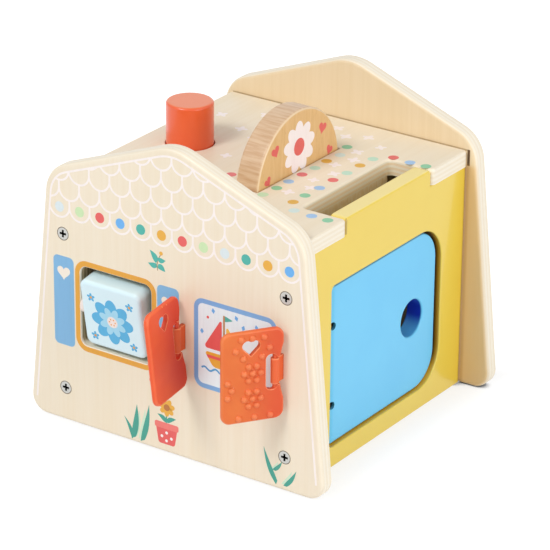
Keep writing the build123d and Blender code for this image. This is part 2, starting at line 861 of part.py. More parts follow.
def make_set_screw(z):
    """One short screw that grips a hinge pin through the door's rounded edge."""
    start = hinge_pin_r + pin_fit_gap
    body = rod("X", set_screw_r, (start, 0, 0), set_screw_t)
    top = start + set_screw_t
    slot = box_between(top - set_slot_depth, top + 1, -set_screw_r - 1, set_screw_r + 1,
                       -set_slot_w / 2, set_slot_w / 2)
    return set_screw_place(z) * (body - slot)


def make_door_stop():
    """The strip behind the side panel that the shut door rests against."""
    y0 = door_rear_y - stop_over
    mid_z = (opening_bottom + opening_top) / 2
    strip = box_between(side_inner_x - stop_t, side_inner_x, y0, y0 + stop_w,
                        mid_z - stop_half_z, mid_z + stop_half_z)
    strip = fillet(strip.edges().filter_by(Axis.X), stop_corner_r)
    rebate_x = door_inner_x - stop_lip_gap
    return strip - box_between(rebate_x, side_inner_x + 1, y0 - 1, opening_rear_y + stop_lip_gap,
                               mid_z - stop_half_z - 1, mid_z + stop_half_z + 1)


def make_slot_strip():
    """The wooden strip under the roof board that deepens the inner side of the posting slot."""
    strip = box_between(notch_inner_x - slot_strip_t, notch_inner_x, -slot_strip_half_y, slot_strip_half_y,
                        roof_bottom - slot_strip_h, roof_bottom)
    lower = strip.edges().filter_by(Axis.X).sort_by(Axis.Z)[:2]
    return fillet(lower, slot_strip_end_r)


# Every piece by name
def all_pieces():
    """Builds the pieces one by one as name and solid."""
    yield "front_gable", make_front_gable()
    yield "rear_gable", make_rear_gable()
    yield "roof_board", make_roof_board()
    yield "door_side_panel", make_door_side_panel()
    yield "plain_side_panel", make_plain_side_panel()
    yield "floor_board", make_floor_board()
    yield "slot_strip", make_slot_strip()
    screw = make_gable_screw()
    for number, (x, z) in enumerate(gable_screw_spots(), 1):
        yield f"front_screw_{number}", toward_back(x, z) * screw
        yield f"rear_screw_{number}", toward_front(x, z) * screw
    spots = [(way, y) for way in (-1, 1) for y in (-dowel_y, dowel_y)]
    for number, (way, y) in enumerate(spots, 1):
        yield f"roof_dowel_{number}", make_roof_dowel(way * screw_x, y)
        yield f"floor_dowel_{number}", make_floor_dowel(way, y)
    yield "picture_tile", make_picture_tile()
    yield "tile_axle", make_tile_axle()
    yield "tile_axle_plug", make_tile_plug()
    yield "tile_spacer_left", make_tile_spacer(-1)
    yield "tile_spacer_right", make_tile_spacer(1)
    yield "left_shutter", make_shutter(-1)
    yield "right_shutter", make_shutter(1)
    yield "left_strap", make_strap(-1)
    yield "right_strap", make_strap(1)
    yield "picture_wheel", make_picture_wheel()
    yield "wheel_axle", make_wheel_axle()
    for number, mid_x in enumerate(cap_middles(), 1):
        yield f"axle_cap_{number}", make_axle_cap(mid_x)
        for letter, way in (("a", -1), ("b", 1)):
            spot = (mid_x, way * cap_screw_y, roof_bottom - cap_t)
            yield f"cap_screw_{number}{letter}", make_small_screw(*spot, small_screw_len)
    yield "chimney", make_chimney()
    yield "chimney_disc", make_chimney_disc()
    yield "chimney_screw", make_small_screw(chimney_x, chimney_y, disc_top - disc_t, disc_screw_len)
    yield "chimney_spring", make_chimney_spring()
    yield "chimney_yoke", make_chimney_yoke()
    for number, way in enumerate((-1, 1), 1):
        spot = (chimney_x, chimney_y + way * yoke_screw_y, roof_bottom - yoke_t)
        yield f"yoke_screw_{number}", make_small_screw(*spot, small_screw_len)
    yield "side_door", make_side_door()
    yield "hinge_pin_upper", make_hinge_pin(True)
    yield "hinge_pin_lower", make_hinge_pin(False)
    yield "set_screw_upper", make_set_screw(set_screw_high_z)
    yield "set_screw_lower", make_set_screw(set_screw_low_z)
    yield "door_stop", make_door_stop()


for name, piece in all_pieces():
    export_step(piece, f"parts/{name}.step")
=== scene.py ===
import math
import random

import bmesh
import bpy
from mathutils import Matrix, Vector


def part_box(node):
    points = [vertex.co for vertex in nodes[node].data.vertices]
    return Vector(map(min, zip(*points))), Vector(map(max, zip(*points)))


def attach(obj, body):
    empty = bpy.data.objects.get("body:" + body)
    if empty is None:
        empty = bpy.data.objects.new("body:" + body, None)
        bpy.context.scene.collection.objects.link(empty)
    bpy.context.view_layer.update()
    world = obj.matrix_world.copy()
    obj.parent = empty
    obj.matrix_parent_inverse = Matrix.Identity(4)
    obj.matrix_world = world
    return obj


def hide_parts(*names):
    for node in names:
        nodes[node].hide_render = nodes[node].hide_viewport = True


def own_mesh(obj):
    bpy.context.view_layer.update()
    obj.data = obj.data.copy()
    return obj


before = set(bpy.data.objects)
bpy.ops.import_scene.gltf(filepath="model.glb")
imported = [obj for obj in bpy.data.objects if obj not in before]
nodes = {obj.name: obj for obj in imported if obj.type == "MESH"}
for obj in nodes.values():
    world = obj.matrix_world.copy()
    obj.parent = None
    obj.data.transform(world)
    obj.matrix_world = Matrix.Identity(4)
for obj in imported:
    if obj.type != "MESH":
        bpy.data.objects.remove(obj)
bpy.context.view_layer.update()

# Outlines are written in millimetres, in the frame of the CAD, and scaled once.
MM = 0.001


def box_mm(node):
    """The lowest and highest corner of a CAD node in millimetres."""
    low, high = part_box(node)
    return low / MM, high / MM


# Places taken from the frame
gable_low, gable_high = box_mm("front_gable")
rear_low, rear_high = box_mm("rear_gable")
roof_low, roof_high = box_mm("roof_board")
side_low, side_high = box_mm("door_side_panel")
door_high = box_mm("side_door")[1]
wheel_low, wheel_high = box_mm("picture_wheel")
wheel_mid = (wheel_low + wheel_high) / 2
axle_low, axle_high = box_mm("tile_axle")
tile_low, tile_high = box_mm("picture_tile")
tile_mid = Vector(((tile_low.x + tile_high.x) / 2, (axle_low.y + axle_high.y) / 2,
                   (axle_low.z + axle_high.z) / 2))

# Gable outline, to its corners before they are rounded
base_half = 99.2
lean = 0.0995
roof_slope = 0.3779
apex_z = 180.9
border_inset = 4.3
border_eave_r = 15.7
border_peak_r = 23.7
border_low_z = 9.7
border_w = 1.15

# Shingles and the row of dots under them
shingle_pitch = 13.73
row_pitch = 10.8
first_row_z = 129.5
shingle_rows = 5
shingle_columns = 7
shingle_line_w = 1.15
dot_row_z = 128.5
dot_r = 3.0

# Window, printed shutters and picture. A box is (x0, x1, z0, z1).
window_box = (-62.1, -14.1, 49.8, 97.0)
window_r = 4.5
frame_gap = 0.45
frame_w = 3.05
shutter_z = (46.4, 99.7)
shutter_r = 3.0
left_shutter_x = (-80.4, -66.4)
right_shutter_x = (-10.0, 4.5)
shutter_heart_w = 8.8
shutter_heart_z = 89.4
picture_box = (14.4, 68.0, 46.6, 99.0)
picture_r = 6.0
picture_line_w = 2.75
screw_rim_w = 0.45

# Soft leaves and straps. A leaf's painted hinge shade comes in from a little behind its free edge
# and is full at its root.
leaf_root_y = -93.0
left_free = 6.0
right_free = 4.0
leaf_voxel = 0.25
strap_voxel = 0.32

# Chimney, posting notch and door. opening_box is (y0, y1, z0, z1), finger_spot is (y, z), and
# panel_skin is the panel's outermost paint, left out of the painted shade and light beside the
# notch and the door.
notch_inner_x = 51.3
notch_half_y = 42.9
opening_box = (-56.0, 58.0, 10.0, 110.0)
finger_spot = (30.0, 58.1)
finger_r = 10.9
panel_skin = 0.7

# Picture tile
tile_t = 13.8
tile_rest_deg = 9.2

# A print's top over its face, each further level's rise, and how deep its foot is sunk
print_base = 0.03
print_step = 0.006
print_sunk = 0.02


# Outlines
def arc(mid_x, mid_y, radius, start, end, steps):
    """Points on a circle between two angles in degrees."""
    points = []
    for i in range(steps + 1):
        turn = math.radians(start + (end - start) * i / steps)
        points.append((mid_x + radius * math.cos(turn), mid_y + radius * math.sin(turn)))
    return points


def rounded(corners, radii, closed=True, steps=9):
    """A polygon or an open path whose corners are rounded."""
    points = []
    last = len(corners) - 1
    for i, (corner, radius) in enumerate(zip(corners, radii)):
        if radius == 0 or (not closed and i in (0, last)):
            points.append(tuple(corner))
            continue
        tip = Vector(corner)
        back = (Vector(corners[i - 1]) - tip).normalized()
        onward = (Vector(corners[(i + 1) % len(corners)]) - tip).normalized()
        half = back.angle(onward) / 2
        middle = tip + (back + onward).normalized() * radius / math.sin(half)
        start = tip + back * radius / math.tan(half) - middle
        end = tip + onward * radius / math.tan(half) - middle
        first = math.atan2(start.y, start.x)
        sweep = (math.atan2(end.y, end.x) - first + math.pi) % (2 * math.pi) - math.pi
        for k in range(steps + 1):
            turn = first + sweep * k / steps
            points.append((middle.x + radius * math.cos(turn), middle.y + radius * math.sin(turn)))
    return points


def rounded_rect(x0, x1, y0, y1, radius):
    """A rectangle with rounded corners."""
    return rounded([(x0, y0), (x1, y0), (x1, y1), (x0, y1)], [radius] * 4)


def moved(points, x=0.0, y=0.0, turn=0.0, scale=1.0):
    """Points turned about the origin in degrees, scaled and shifted."""
    c = math.cos(math.radians(turn)) * scale
    s = math.sin(math.radians(turn)) * scale
    return [(x + c * px - s * py, y + s * px + c * py) for px, py in points]


def oval(x, y, half_w, half_h, turn=0.0, steps=32):
    """An ellipse round a middle point."""
    turns = [2 * math.pi * i / steps for i in range(steps)]
    return moved([(half_w * math.cos(t), half_h * math.sin(t)) for t in turns], x, y, turn)


def heart(x, y, width, turn=0.0, steps=36):
    """A heart of that width round its middle."""
    points = []
    for i in range(steps):
        t = 2 * math.pi * i / steps
        high = 13 * math.cos(t) - 5 * math.cos(2 * t) - 2 * math.cos(3 * t) - math.cos(4 * t)
        points.append((-16 * math.sin(t) ** 3, high + 2.5))
    return moved(points, x, y, turn, width / 32)


def leaf(base, tip, width, bow=0.0, steps=12):
    """A pointed blade from its base to its tip, bent sideways by bow."""
    a = Vector(base)
    b = Vector(tip)
    along = b - a
    side = Vector((-along.y, along.x)).normalized()
    left = []
    right = []
    for i in range(steps + 1):
        t = i / steps
        mid = a + along * t + side * bow * math.sin(math.pi * t)
        half = side * width / 2 * math.sin(math.pi * min(1.0, 0.12 + 0.88 * t) ** 0.8)
        left.append(tuple(mid + half))
        right.append(tuple(mid - half))
    return left + right[-2:0:-1]


def sparkle(x, y, size, turn=0.0, points=4, waist=0.5):
    """A soft star with round points."""
    star = []
    steps = 12 * points
    for i in range(steps):
        t = 2 * math.pi * i / steps
        swell = (1 + math.cos(t * points)) / 2
        radius = size * (waist + (1 - waist) * swell)
        star.append((radius * math.cos(t), radius * math.sin(t)))
    return moved(star, x, y, turn)


# Printed shapes
class Print:
    """Printed shapes on one face of a piece, each a thin raised solid in its own colour."""

    def __init__(self, name, place, body):
        self.name = name
        self.place = place
        self.body = body
        self.mesh = bmesh.new()
        self.paints = []

    def rise(self, level):
        """The height of the top of a shape at that level."""
        return print_base + print_step * level

    def close(self, paint, tops, bottoms, caps, loop):
        """Makes the faces of one solid between its top and bottom points."""
        if paint not in self.paints:
            self.paints.append(paint)
        index = self.paints.index(paint)
        faces = []
        for ends in caps:
            faces.append([tops[i] for i in ends])
            faces.append([bottoms[i] for i in reversed(ends)])
        for ring in loop:
            for a, b in zip(ring, ring[1:] + ring[:1]):
                faces.append([tops[b], tops[a], bottoms[a], bottoms[b]])
        for corners in faces:
            face = self.mesh.faces.new(corners)
            face.material_index = index

    def points(self, outline, level):
        """The top and bottom points of an outline."""
        rise = self.rise(level)
        tops = [self.mesh.verts.new((x, y, rise)) for x, y in outline]
        bottoms = [self.mesh.verts.new((x, y, -print_sunk)) for x, y in outline]
        return tops, bottoms

    def shape(self, outline, paint, level=0):
        """A filled outline."""
        tops, bottoms = self.points(outline, level)
        ring = list(range(len(outline)))
        self.close(paint, tops, bottoms, [ring], [ring])

    def band(self, outer, inner, paint, level=0, closed=True):
        """The band between two outlines with as many points each."""
        tops, bottoms = self.points(list(outer) + list(inner), level)
        n = len(outer)
        steps = n if closed else n - 1
        caps = [[i, (i + 1) % n, n + (i + 1) % n, n + i] for i in range(steps)]
        if closed:
            loop = [list(range(n)), list(range(2 * n - 1, n - 1, -1))]
        else:
            loop = [list(range(n)) + list(range(2 * n - 1, n - 1, -1))]
        self.close(paint, tops, bottoms, caps, loop)

    def line(self, path, width, paint, level=0, closed=False):
        """A line of that width along a path."""
        outer = []
        inner = []
        n = len(path)
        for i, point in enumerate(path):
            a = path[i - 1] if closed or i > 0 else point
            b = path[(i + 1) % n] if closed or i < n - 1 else point
            along = (Vector(b) - Vector(a)).normalized()
            side = Vector((-along.y, along.x)) * width / 2
            outer.append(tuple(Vector(point) - side))
            inner.append(tuple(Vector(point) + side))
        self.band(outer, inner, paint, level, closed)

    def finish(self):
        """Makes the object, in place and riding on its body."""
        bmesh.ops.recalc_face_normals(self.mesh, faces=self.mesh.faces[:])
        data = bpy.data.meshes.new(self.name)
        self.mesh.to_mesh(data)
        self.mesh.free()
        data.transform(self.place @ Matrix.Scale(MM, 4))
        for paint in self.paints:
            data.materials.append(paint)
        piece = bpy.data.objects.new(self.name, data)
        bpy.context.scene.collection.objects.link(piece)
        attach(piece, self.body)


def face_of(across, up, out, spot):
    """The matrix that lays a flat drawing on a face.

    It takes the face's right, up and outward directions and a point on it in millimetres.
    """
    place = Matrix((across, up, out)).transposed().to_4x4()
    place.translation = Vector(spot) * MM
    return place


# Materials
def colour(code):
    """A colour written as in a paint programme, as linear values."""
    values = [int(code[i:i + 2], 16) / 255 for i in (0, 2, 4)]
    linear = [v / 12.92 if v <= 0.04045 else ((v + 0.055) / 1.055) ** 2.4 for v in values]
    return tuple(linear) + (1.0,)


def shaded(code, share):
    """A colour with that share of its light."""
    return tuple(c * share for c in colour(code)[:3]) + (1.0,)


class Paint:
    """A short way to write one material's nodes."""

    def __init__(self, name, roughness=0.5, **sockets):
        self.material = bpy.data.materials.new(name)
        self.material.use_nodes = True
        self.tree = self.material.node_tree
        self.shader = self.tree.nodes["Principled BSDF"]
        self.shader.inputs["Roughness"].default_value = roughness
        for key, value in sockets.items():
            self.shader.inputs[key.replace("_", " ")].default_value = value

    def put(self, socket, value):
        """Links or sets one socket."""
        if isinstance(value, bpy.types.NodeSocket):
            self.tree.links.new(value, socket)
        else:
            socket.default_value = value

    def add(self, kind, ins=None, **settings):
        """Adds a node with its settings and inputs."""
        node = self.tree.nodes.new(kind)
        for key, value in settings.items():
            setattr(node, key, value)
        for key, value in (ins or {}).items():
            self.put(node.inputs[key], value)
        return node

    def math(self, operation, a, b=0.0):
        """A math node's result."""
        return self.add("ShaderNodeMath", {0: a, 1: b}, operation=operation).outputs[0]

    def times(self, a, b):
        """Two values multiplied."""
        return self.math("MULTIPLY", a, b)

    def step(self, value, low, high):
        """0 below low, 1 above high, smooth between."""
        node = self.add("ShaderNodeMapRange", {"Value": value, "From Min": low, "From Max": high},
                        interpolation_type="SMOOTHSTEP", clamp=True)
        return node.outputs[0]

    def fall(self, value, low, high):
        """1 below low, 0 above high, smooth between."""
        return self.math("SUBTRACT", 1.0, self.step(value, low, high))

    def mix(self, factor, a, b):
        """Two colours mixed."""
        return self.add("ShaderNodeMix", {0: factor, 6: a, 7: b}, data_type="RGBA").outputs[2]

    def coords(self):
        """The outputs of the material's one coordinate node."""
        if not hasattr(self, "coord"):
            self.coord = self.add("ShaderNodeTexCoord")
        return self.coord.outputs

    def spot(self, scale):
        """The point on the piece in millimetres, stretched by scale."""
        factors = tuple(s / MM for s in scale)
        node = self.add("ShaderNodeVectorMath", {0: self.coords()["Object"], 1: factors},
                        operation="MULTIPLY")
        return node.outputs[0]

    def axes(self, vector):
        """The three parts of a vector."""
        return self.add("ShaderNodeSeparateXYZ", {0: vector}).outputs

    def place(self):
        """The three parts of the point on the piece in millimetres."""
        return self.axes(self.spot((1.0, 1.0, 1.0)))

    def facing(self):
        """The three parts of the surface's own direction on the piece."""
        return self.axes(self.coords()["Normal"])

    def noise(self, scale, detail=3.0, rough=0.55, distortion=0.0):
        """A noise value of about 0 to 1, its scale in waves a millimetre for all or each axis."""
        scales = scale if isinstance(scale, tuple) else (scale,) * 3
        node = self.add("ShaderNodeTexNoise", {"Vector": self.spot(scales), "Scale": 1.0,
                                               "Detail": detail, "Roughness": rough,
                                               "Distortion": distortion})
        return node.outputs[0]

    def bump(self, height, distance, strength):
        """Lets a height move the shading, distance in millimetres."""
        node = self.add("ShaderNodeBump", {"Height": height, "Distance": distance * MM,
                                           "Strength": strength})
        self.put(self.shader.inputs["Normal"], node.outputs[0])

    def base(self, value):
        """Sets the colour."""
        self.put(self.shader.inputs["Base Color"], value)

    def rough(self, value, least, spread):
        """Lets a value raise the roughness from its least by the spread."""
        raised = self.math("ADD", least, self.times(value, spread))
        self.put(self.shader.inputs["Roughness"], raised)

    def recolour(self, mask, value, share=1.0):
        """Lays a share of another colour over what the paint has, where the mask is 1."""
        if share < 1.0:
            mask = self.times(mask, share)
        old = self.shader.inputs["Base Color"].links[0].from_socket
        self.base(self.mix(mask, old, value))


def stretched(along, fine, coarse):
    """A noise scale that is coarse along one axis and fine across it."""
    return tuple(coarse if i == along else fine for i in range(3))


def inside_box(p, at, low, high, soft=0.2):
    """A mask of a box, 1 inside it. None leaves a side open."""
    mask = 1.0
    for i in range(3):
        if low[i] is not None:
            mask = p.times(mask, p.step(at[i], low[i] - soft, low[i] + soft))
        if high[i] is not None:
            mask = p.times(mask, p.fall(at[i], high[i] - soft, high[i] + soft))
    return mask


# Wood
ply_layers = 7.0


def ply_face(p, grain_axis, tones, pores):
    """The grained face of birch plywood in a pale, a deep and a warm tone."""
    grain = p.noise(stretched(grain_axis, 0.4, 0.012), 4.0, 0.55, 0.4)
    bands = p.noise(stretched(grain_axis, 0.05, 0.004), 2.0, 0.5, 0.6)
    pale, deep, warm = [colour(code) for code in tones]
    face = p.mix(p.times(p.step(grain, 0.3, 0.75), 0.38), pale, deep)
    face = p.mix(p.times(p.step(bands, 0.45, 0.75), 0.5), face, warm)
    return p.mix(p.times(p.step(pores, 0.62, 0.85), 0.04), face, colour("CDB185"))


def ply_edge(p, across, low, thickness, end_grain, cut):
    """The layered edge of plywood. cut gives a box and two tones in which the layers show more,
    tones that are partly painted light and shade.
    """
    layers = p.times(p.math("SUBTRACT", across, low), ply_layers / thickness)
    wobble = p.times(p.math("SUBTRACT", p.noise(0.05, 2.0), 0.5), 0.35)
    odd = p.step(p.math("PINGPONG", p.math("ADD", layers, wobble), 1.0), 0.38, 0.62)
    edge = p.mix(p.times(odd, 0.4), colour("F7EEDC"), colour("E9D9BA"))
    if cut:
        box_low, box_high, first, second = cut
        strong = p.mix(odd, colour(first), colour(second))
        # Faces that look up in the box get a painted highlight.
        strong = p.mix(p.step(p.facing()[2], 0.4, 0.9), strong, colour("FBF4E0"))
        edge = p.mix(inside_box(p, p.place(), box_low, box_high), edge, strong)
    return p.mix(p.times(p.step(end_grain, 0.5, 0.75), 0.2), edge, colour("D8C29B"))


def plywood(name, thick_axis, low, thickness, grain_axis, tones, cut=None):
    """Birch plywood: grained faces and layered edges. thick_axis is the axis across the board."""
    p = Paint(name, Coat_Weight=0.15, Coat_Roughness=0.25, Specular_IOR_Level=0.35)
    pores = p.noise(stretched(grain_axis, 2.6, 0.09), 2.0, 0.6)
    end_grain = p.noise(1.6, 4.0, 0.7)
    face = ply_face(p, grain_axis, tones, pores)
    edge = ply_edge(p, p.place()[thick_axis], low, thickness, end_grain, cut)
    on_face = p.step(p.math("ABSOLUTE", p.facing()[thick_axis]), 0.62, 0.9)
    p.base(p.mix(on_face, edge, face))
    p.rough(end_grain, 0.42, 0.14)
    p.bump(p.mix(on_face, end_grain, p.times(pores, 0.5)), 0.05, 0.3)
    return p


def rear_plywood(tones):
    """The rear gable's plywood, with painted shade and shadow beside the roof board and painted
    shade with bounced yellow light low beside the side panel.
    """
    p = plywood("ply_rear", 1, rear_low.y, rear_high.y - rear_low.y, 2, tones)
    at = p.place()
    skin_y = rear_low.y + 0.5
    end_x = roof_high.x - 0.4
    beyond_x = roof_high.x + 1.3
    joint_z = roof_high.z - 1.0
    over_z = roof_high.z + 0.1
    near_x = side_high.x + 0.4, side_high.x + 3.2
    # Painted shade where the roof board meets the rear gable.
    roof_line_shade = inside_box(p, at, (-end_x, None, joint_z), (end_x, skin_y, over_z), 0.15)
    p.recolour(roof_line_shade, colour("8A6A38"), 0.5)
    # Painted shadow beside the roof board's end, in the gap to the rear gable.
    end = inside_box(p, at, (end_x, None, roof_low.z), (beyond_x, skin_y, roof_high.z))
    p.recolour(end, colour("543616"), 0.95)
    # Painted shade and bounced yellow light on the rear gable's face beside the side panel, deepest
    # next to it.
    foot = inside_box(p, at, (side_high.x, None, None), (None, skin_y, roof_low.z), 2.0)
    p.recolour(foot, colour("E2B062"), 0.6)
    p.recolour(p.times(foot, p.fall(at[0], *near_x)), colour("B8842C"), 0.7)
    return p


def beech(name):
    """Steamed beech with fine lines, short flecks and a painted highlight on its eased rim."""
    p = Paint(name, 0.42, Coat_Weight=0.25, Coat_Roughness=0.25)
    lines = p.noise((0.3, 0.5, 0.03), 5.0, 0.6, 0.5)
    flecks = p.noise((0.9, 1.5, 0.28), 2.0, 0.5)
    face = p.mix(p.times(p.step(lines, 0.3, 0.7), 0.6), colour("E6BD84"), colour("DAAC6B"))
    face = p.mix(p.times(p.step(flecks, 0.62, 0.72), 0.3), face, colour("B98756"))
    rings = p.noise((0.05, 0.55, 0.55), 4.0, 0.6)
    rim = p.mix(p.step(rings, 0.35, 0.7), colour("DDBD9A"), colour("CBA27A"))
    turned = p.math("ABSOLUTE", p.facing()[0])
    # The eased rim between the faces and the turned edge gets a painted highlight.
    side = p.mix(p.step(turned, 0.35, 0.75), rim, colour("E9CDA6"))
    p.base(p.mix(p.step(turned, 0.86, 0.98), side, face))
    p.bump(rings, 0.05, 0.3)
    return p


def plain_wood(name, pale="E9CFA6", deep="D4B384"):
    """Bare wood for small and hidden pieces."""
    p = Paint(name, 0.6)
    grain = p.noise((0.6, 0.6, 0.2), 4.0, 0.6)
    p.base(p.mix(p.step(grain, 0.3, 0.7), colour(pale), colour(deep)))
    p.bump(grain, 0.06, 0.4)
    return p


# Paints
def satin(name, code, shade, rough, coat, coat_rough):
    """A satin coat over wood, a little uneven, with the grain just felt under it."""
    p = Paint(name, Coat_Weight=coat, Coat_Roughness=coat_rough)
    cloud = p.noise(0.03)
    fine = p.noise(1.2, 2.0)
    grain = p.noise((0.5, 0.5, 0.05))
    p.base(p.mix(p.times(p.step(cloud, 0.3, 0.7), 0.5), colour(code), colour(shade)))
    p.rough(fine, rough - 0.04, 0.08)
    p.bump(p.math("ADD", p.times(grain, 0.7), p.times(fine, 0.3)), 0.03, 0.3)
    return p


def panel_paint():
    """The glossy yellow of the side panel, with painted shade round the door and the roof board,
    and painted light on the tongue's top.
    """
    p = satin("panel_yellow", "EBCD44", "E8C83C", 0.34, 0.5, 0.06)
    at = p.place()
    y0, y1, z0, z1 = opening_box
    face_x = side_high.x
    tongue_z = z1 + 3.0, z1 + 6.0
    wall_x = face_x - 4.5, face_x - 0.4
    rear_edge_shade_y = side_high.y - 2.6, side_high.y - 0.1
    corner_shade_low = (face_x - 0.8, None, roof_low.z)
    corner_shade_high = (None, 2.1 - notch_half_y, roof_high.z - 0.4)
    up = p.facing()[2]
    # Painted light on the tongue's top.
    tongue_top_light = p.times(p.step(at[2], *tongue_z), p.step(up, 0.6, 0.95))
    p.recolour(tongue_top_light, colour("F4DF86"))
    # Painted shade on the opening's walls, darkest deepest in, lighter where they face up.
    sunk = inside_box(p, at, (None, y0, z0), (face_x - panel_skin, y1, z1), 0.4)
    wall_shade = p.mix(p.step(at[0], *wall_x), colour("4A2E06"), colour("EAA81E"))
    p.recolour(sunk, p.mix(p.step(up, 0.3, 0.8), wall_shade, colour("FFBC30")))
    # Painted shade along the rear edge, where the panel meets the rear gable.
    p.recolour(p.step(at[1], *rear_edge_shade_y), colour("A8741E"), 0.75)
    # Painted shadow beside the roof board's front end.
    p.recolour(inside_box(p, at, corner_shade_low, corner_shade_high, 0.3), colour("8A6420"), 0.6)
    return p


def door_paint():
    """The blue of the door, with painted shade inside the finger hole, on its edges and along its
    top.
    """
    p = satin("door_blue", "65C9F5", "5DC2F2", 0.38, 0.35, 0.12)
    at = p.place()
    hole_y, hole_z = finger_spot
    wall_x = door_high.x - 1.6, door_high.x - 0.4
    edge_x = door_high.x - 2.5, door_high.x - 0.9
    top_z = door_high.z - 1.3, door_high.z - 0.5
    low_z = hole_z - finger_r, hole_z - 2.0
    high_z = hole_z + 3.0, hole_z + finger_r
    rim_r = finger_r + 0.1, finger_r + 0.6
    clear_r = finger_r + 2.0, finger_r + 3.0
    off_y = p.math("POWER", p.math("SUBTRACT", at[1], hole_y), 2.0)
    off_z = p.math("POWER", p.math("SUBTRACT", at[2], hole_z), 2.0)
    reach = p.math("SQRT", p.math("ADD", off_y, off_z))
    # Painted shade deep in the finger hole, lighter towards its bottom.
    wall_shade = p.mix(p.step(at[2], *low_z), colour("62C4FF"), colour("1236BE"))
    wall_shade = p.mix(p.step(at[2], *high_z), wall_shade, colour("2E6CE6"))
    p.recolour(p.times(p.fall(reach, *rim_r), p.fall(at[0], *wall_x)), wall_shade)
    # Painted shade on the door's edges and a painted shadow along its top.
    dark = colour("1E6478")
    p.recolour(p.times(p.fall(at[0], *edge_x), p.step(reach, *clear_r)), dark)
    p.recolour(p.step(at[2], *top_z), dark, 0.6)
    return p


def chimney_paint():
    """The orange-red of the chimney, with a painted sheen on its top."""
    p = satin("chimney_red", "F0602B", "EE5A28", 0.34, 0.45, 0.1)
    # Painted sheen on the top.
    p.recolour(p.step(p.facing()[2], 0.75, 0.97), colour("EE7B45"))
    return p


def silicone(name, pale, deep, hinge=None):
    """Soft moulded silicone, with a painted highlight on its domes and edges and painted shade in
    its hollows.

    hinge gives the tone of a painted shade towards the root and the two depths in y between which
    it comes in.
    """
    p = Paint(name, Subsurface_Weight=0.12, Subsurface_Radius=(0.004, 0.0015, 0.0008),
              Subsurface_Scale=0.5, Specular_IOR_Level=0.45)
    cloud = p.noise(0.08, 2.0)
    skin = p.noise(3.0, 2.0)
    body = p.mix(p.step(cloud, 0.3, 0.7), colour(pale), colour(deep))
    # Painted shade towards the hinge, where the leaf turns from the light.
    if hinge:
        tone, free_y, root_y = hinge
        body = p.mix(p.step(p.place()[1], free_y, root_y), body, colour(tone))
    bend = p.add("ShaderNodeNewGeometry").outputs["Pointiness"]
    # Painted highlight on domes and edges, painted shade in hollows.
    body = p.mix(p.times(p.step(bend, 0.503, 0.54), 0.85), body, colour("F9986A"))
    p.base(p.mix(p.times(p.fall(bend, 0.44, 0.495), 0.7), body, colour("CF3A1C")))
    p.rough(skin, 0.38, 0.1)
    p.bump(skin, 0.02, 0.3)
    return p


def ink(name, code):
    """Printed colour with the wood's grain just showing."""
    p = Paint(name, Coat_Weight=0.2, Coat_Roughness=0.3)
    grain = p.noise((0.5, 0.5, 0.03), 3.0, 0.6)
    fine = p.noise(4.0, 1.0)
    p.base(p.mix(p.times(p.step(grain, 0.4, 0.75), 0.6), colour(code), shaded(code, 0.93)))
    p.rough(fine, 0.39, 0.06)
    return p.material


def steel(name, shaded_past_y=None):
    """Bright steel with fine brushing, with painted shade further in than shaded_past_y, in a
    screw's cross.
    """
    p = Paint(name, Metallic=1.0)
    brush = p.noise(2.5)
    bright = p.mix(brush, colour("DADAD6"), colour("A9A9A4"))
    if shaded_past_y is not None:
        # Painted shade in the screw's cross.
        depth = p.math("ABSOLUTE", p.place()[1])
        bright = p.mix(p.fall(depth, shaded_past_y - 0.5, shaded_past_y - 0.1), bright, colour("16140F"))
    p.base(bright)
    p.rough(brush, 0.2, 0.2)
    return p


def blackened(name):
    """Blackened steel."""
    p = Paint(name, 0.45, Metallic=0.6)
    p.base(p.mix(p.noise(2.0), colour("1C1D22"), colour("303038")))
    return p


def plastic(name, code):
    """Plain moulded plastic."""
    p = Paint(name, 0.4)
    p.base(p.mix(p.noise(0.4, 2.0), colour(code), shaded(code, 0.94)))
    p.bump(p.noise(2.0, 2.0), 0.02, 0.25)
    return p


def board_finishes():
    """The materials of the nodes that have one of their own."""
    cream = ("F2E6D0", "EBDBBE", "EEDFC2")
    # The rear gable's tan is a warmer board and, in part, painted shade on its inner face.
    tan = ("EFDAB6", "E6CEA2", "EAD3AA")
    margin = 0.5
    x0, x1, z0, z1 = window_box
    window_low = (x0 - margin, gable_low.y + 1.6, z0 - margin)
    # The window's walls get deep tones: painted shade in the recess.
    window = (window_low, (x1 + margin, None, z1 + margin), "C6B28C", "96835F")
    notch_low = (notch_inner_x - margin, -notch_half_y - margin, None)
    notch_high = (side_high.x - panel_skin, notch_half_y + margin, None)
    # The notch's walls get raised tones: painted light that makes up for the shade in the notch.
    notch = (notch_low, notch_high, "FFF6E2", "FAE6C4")
    gable_t = gable_high.y - gable_low.y
    roof_t = roof_high.z - roof_low.z
    side_t = side_high.x - side_low.x
    floor_t = box_mm("floor_board")[1].z
    return {
        "front_gable": plywood("ply_front", 1, gable_low.y, gable_t, 2, cream, window),
        "rear_gable": rear_plywood(tan),
        "roof_board": plywood("ply_roof", 2, roof_low.z, roof_t, 1, cream, notch),
        "plain_side_panel": plywood("ply_side", 0, -side_high.x, side_t, 2, cream),
        "floor_board": plywood("ply_floor", 2, 0.0, floor_t, 0, cream),
        "door_side_panel": panel_paint(),
        "side_door": door_paint(),
        "picture_wheel": beech("wheel_beech"),
        "chimney": chimney_paint(),
        "picture_tile": satin("tile_blue", "DDF5FC", "D7F0F9", 0.4, 0.2, 0.2),
    }


